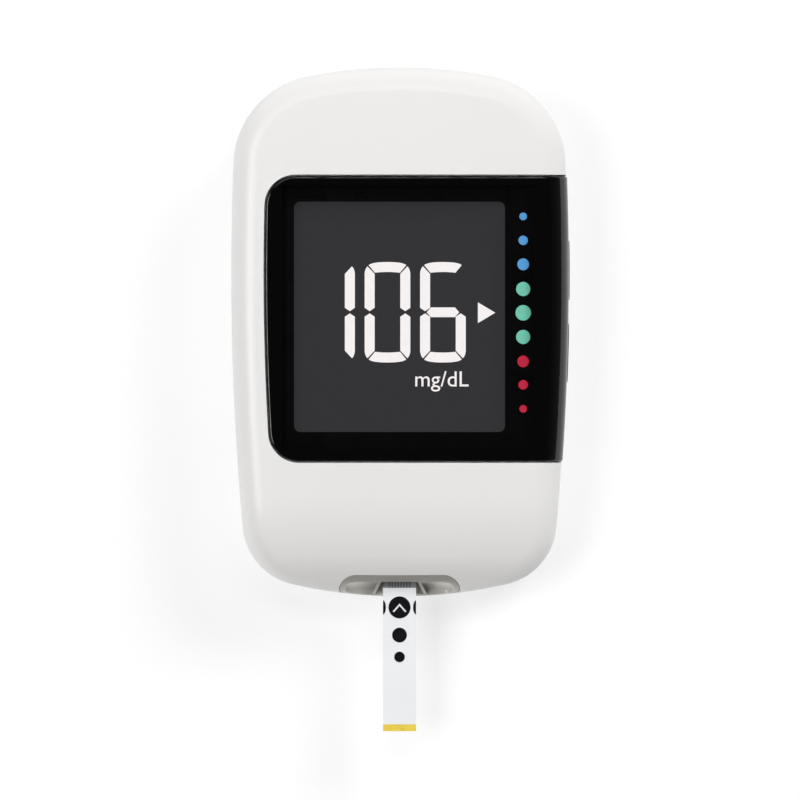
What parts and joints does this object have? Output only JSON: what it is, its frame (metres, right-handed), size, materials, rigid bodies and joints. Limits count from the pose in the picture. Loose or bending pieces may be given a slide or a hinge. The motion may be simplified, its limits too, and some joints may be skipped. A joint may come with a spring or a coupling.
{
  "type": "blood glucose meter",
  "caption": "Pocket blood glucose meter: rounded white housing, wrap-round black lens over a lit display, side keys, and a test strip in its port.",
  "frame": {"origin": "centre of the housing's back face, on which the meter lies", "axes": "+X to the right of the display, +Y to the display's top, +Z out through the front"},
  "size_m": [0.0491, 0.0963, 0.0154],
  "materials": {
    "white_shell": "fine satin texture",
    "black_lens": "polished",
    "black_ink": "printed",
    "tape": "adhesive foam",
    "polariser": "film",
    "display_glass": "polished",
    "clear_acrylic": "clear",
    "grey_moulding": "moulded",
    "zebra_rubber": "striped silicone",
    "solder_mask": "green solder mask",
    "chip_black": "moulded epoxy",
    "ceramic": "ceramic with tinned ends",
    "shield_metal": "tinned sheet",
    "led_white": "moulded",
    "usb_steel": "nickel plated",
    "cell_steel": "nickel plated",
    "contact_gold": "gold plated",
    "spring_steel": "drawn wire",
    "screw_steel": "zinc plated",
    "strip_white": "film",
    "strip_print": "printed film",
    "strip_yellow": "dyed film",
    "electrode_dark": "carbon ink",
    "port_grey": "translucent, satin",
    "connector_black": "moulded",
    "key_black": "satin",
    "slider_grey": "moulded"
  },
  "bodies": {
    "housing": {"front_cover": "white_shell", "rear_cover": "white_shell", "housing_screws": "screw_steel", "display_lens": "black_lens", "lens_print": "black_ink", "lens_tape": "tape", "lcd_polariser": "polariser", "lcd_upper_glass": "display_glass", "lcd_lower_glass": "display_glass", "lcd_rear_film": "polariser", "light_guide": "clear_acrylic", "backlight_leds": "led_white", "lcd_holder": "grey_moulding", "zebra_strip": "zebra_rubber", "main_board": "solder_mask", "board_chips": "chip_black", "board_passives": "ceramic", "radio_module": "shield_metal", "port_leds": "led_white", "usb_socket": "usb_steel", "usb_tongue": "connector_black", "coin_cell_left": "cell_steel", "coin_cell_right": "cell_steel", "negative_contacts": "contact_gold", "positive_contacts": "contact_gold", "strip_connector": "connector_black", "strip_contacts": "contact_gold", "port_bezel": "port_grey", "up_switch": "connector_black", "down_switch": "connector_black", "ejector_spring": "spring_steel"},
    "up_button": {"up_button": "key_black", "up_plunger": "led_white"},
    "down_button": {"down_button": "key_black", "down_plunger": "led_white"},
    "ejector": {"ejector_slider": "slider_grey", "ejector_carriage": "slider_grey"},
    "test_strip": {"strip_base": "strip_white", "strip_film": "strip_print", "strip_tip": "strip_yellow", "strip_electrodes": "electrode_dark"},
    "battery_door": {"battery_door": "white_shell"}
  },
  "joints": [
    {"name": "up_press", "type": "slide", "parent": "housing", "child": "up_button", "axis": [-1, 0, 0], "range_m": [0, 0.00035], "stiffness_N_per_m": 900, "springref_m": -0.0002},
    {"name": "down_press", "type": "slide", "parent": "housing", "child": "down_button", "axis": [-1, 0, 0], "range_m": [0, 0.00035], "stiffness_N_per_m": 900, "springref_m": -0.0002},
    {"name": "eject", "type": "slide", "parent": "housing", "child": "ejector", "axis": [0, -1, 0], "range_m": [0, 0.005], "stiffness_N_per_m": 120, "springref_m": -0.002, "deforming": ["ejector_spring"]},
    {"name": "strip_slide", "type": "slide", "parent": "ejector", "child": "test_strip", "axis": [0, -1, 0], "range_m": [0, 0.0095]},
    {"name": "door_swing", "type": "hinge", "parent": "housing", "child": "battery_door", "pos_m": [0, 0.0023, 0], "axis": [-1, 0, 0], "range_deg": [0, 70]}
  ]
}
